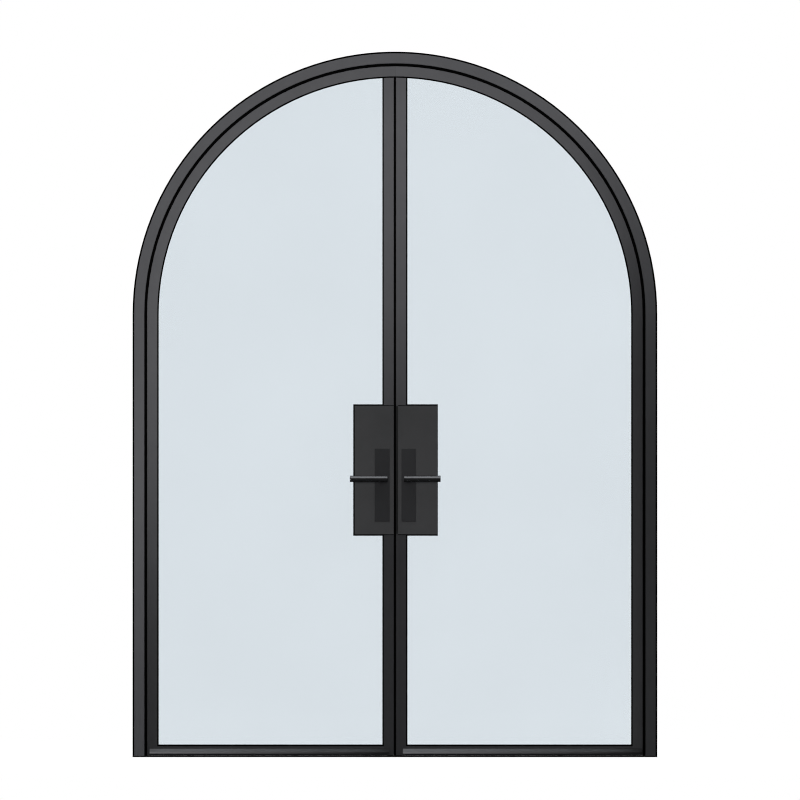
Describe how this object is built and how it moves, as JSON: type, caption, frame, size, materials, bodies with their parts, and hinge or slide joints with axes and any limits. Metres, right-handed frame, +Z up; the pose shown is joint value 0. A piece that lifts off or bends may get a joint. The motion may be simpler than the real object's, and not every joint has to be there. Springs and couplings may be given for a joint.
{
  "type": "arched glass double door",
  "caption": "Steel-framed glazed double door with a semicircular head: inswing side-hinged leaves, lock boxes, lever handles, shoot bolts and a flush threshold.",
  "frame": {"origin": "middle of the threshold's underside, halfway through the frame's depth", "axes": "+X to the right seen from outside, +Y through the doorway towards the room, +Z up"},
  "size_m": [1.836, 0.177, 2.4685],
  "materials": {
    "frame_paint": "satin black powder coat with a fine texture",
    "box_paint": "satin charcoal powder coat",
    "plate_black": "matt black",
    "handle_black": "satin black over steel",
    "black_rubber": "matt",
    "glass": "clear, pale blue-grey",
    "edge_spacer": "matt black warm-edge spacer",
    "sill_metal": "black anodised",
    "drip_metal": "satin black, worn lighter on its upper slope",
    "bearing_bronze": "oiled bronze",
    "black_fasteners": "black oxide",
    "lock_steel": "brushed stainless steel"
  },
  "bodies": {
    "frame": {"jamb_left": "frame_paint", "jamb_right": "frame_paint", "arch_head": "frame_paint", "threshold": "sill_metal", "frame_seal": "black_rubber", "bolt_keepers": "lock_steel", "frame_hinge_plates": "frame_paint", "frame_hinge_screws": "black_fasteners", "hinge_pins": "black_fasteners", "hinge_bearings": "bearing_bronze"},
    "leaf_left": {"left_hinge_stile": "frame_paint", "left_meeting_stile": "frame_paint", "left_arch_rail": "frame_paint", "left_bottom_rail": "frame_paint", "left_glass_panes": "glass", "left_glass_spacer": "edge_spacer", "left_glazing_gaskets": "black_rubber", "left_glazing_beads": "frame_paint", "left_drip_bar": "drip_metal", "left_bottom_sweep": "black_rubber", "left_hinge_plates": "frame_paint", "left_hinge_screws": "black_fasteners", "left_lock_box": "box_paint", "left_lock_cover": "box_paint", "left_lock_screws": "black_fasteners", "left_lock_case": "lock_steel", "left_escutcheons": "plate_black", "strike_plate": "lock_steel"},
    "lever_left": {"left_levers": "handle_black", "left_spindle": "lock_steel", "left_follower": "lock_steel"},
    "shoot_top": {"shoot_bolt_top": "lock_steel"},
    "shoot_bottom": {"shoot_bolt_bottom": "lock_steel"},
    "leaf_right": {"right_hinge_stile": "frame_paint", "right_meeting_stile": "frame_paint", "right_arch_rail": "frame_paint", "right_bottom_rail": "frame_paint", "right_glass_panes": "glass", "right_glass_spacer": "edge_spacer", "right_glazing_gaskets": "black_rubber", "right_glazing_beads": "frame_paint", "right_drip_bar": "drip_metal", "right_bottom_sweep": "black_rubber", "right_hinge_plates": "frame_paint", "right_hinge_screws": "black_fasteners", "right_lock_box": "box_paint", "right_lock_cover": "box_paint", "right_lock_screws": "black_fasteners", "right_lock_case": "lock_steel", "right_escutcheon_outer": "plate_black", "right_escutcheon_inner": "plate_black", "lock_faceplate": "lock_steel", "latch_guard": "box_paint", "meeting_seal": "black_rubber"},
    "lever_right": {"right_levers": "handle_black", "right_spindle": "lock_steel", "right_follower": "lock_steel"},
    "latch": {"latch_bolt": "lock_steel"},
    "deadbolt": {"deadbolt": "lock_steel"},
    "turn": {"thumb_turn": "handle_black"}
  },
  "joints": [
    {"name": "left_leaf_swing", "type": "hinge", "parent": "frame", "child": "leaf_left", "pos_m": [-0.875, 0.069, 0.81], "axis": [0, 0, 1], "range_deg": [0, 110]},
    {"name": "right_leaf_swing", "type": "hinge", "parent": "frame", "child": "leaf_right", "pos_m": [0.875, 0.069, 0.81], "axis": [0, 0, -1], "range_deg": [0, 110]},
    {"name": "left_lever_turn", "type": "hinge", "parent": "leaf_left", "child": "lever_left", "pos_m": [-0.0445, 0.035, 0.9735], "axis": [0, -1, 0], "range_deg": [0, 40], "stiffness_Nm_per_rad": 1.5, "springref_deg": -34.38},
    {"name": "right_lever_turn", "type": "hinge", "parent": "leaf_right", "child": "lever_right", "pos_m": [0.0485, 0.035, 0.9735], "axis": [0, 1, 0], "range_deg": [0, 40], "stiffness_Nm_per_rad": 1.5, "springref_deg": -34.38},
    {"name": "top_bolt_slide", "type": "slide", "parent": "leaf_left", "child": "shoot_top", "axis": [0, 0, -1], "range_m": [0, 0.017]},
    {"name": "bottom_bolt_slide", "type": "slide", "parent": "leaf_left", "child": "shoot_bottom", "axis": [0, 0, 1], "range_m": [0, 0.017]},
    {"name": "latch_slide", "type": "slide", "parent": "leaf_right", "child": "latch", "axis": [1, 0, 0], "range_m": [0, 0.0126]},
    {"name": "thumb_turn", "type": "hinge", "parent": "leaf_right", "child": "turn", "pos_m": [0.0485, 0.035, 0.889], "axis": [0, 1, 0], "range_deg": [0, 90]},
    {"name": "deadbolt_slide", "type": "slide", "parent": "leaf_right", "child": "deadbolt", "axis": [-1, 0, 0], "range_m": [0, 0.0166]}
  ],
  "couplings": [
    {"joint": "top_bolt_slide", "follows": "left_lever_turn", "m_per_rad": 0.0243},
    {"joint": "bottom_bolt_slide", "follows": "left_lever_turn", "m_per_rad": 0.0243},
    {"joint": "latch_slide", "follows": "right_lever_turn", "m_per_rad": 0.0179},
    {"joint": "deadbolt_slide", "follows": "thumb_turn", "m_per_rad": 0.0105}
  ]
}
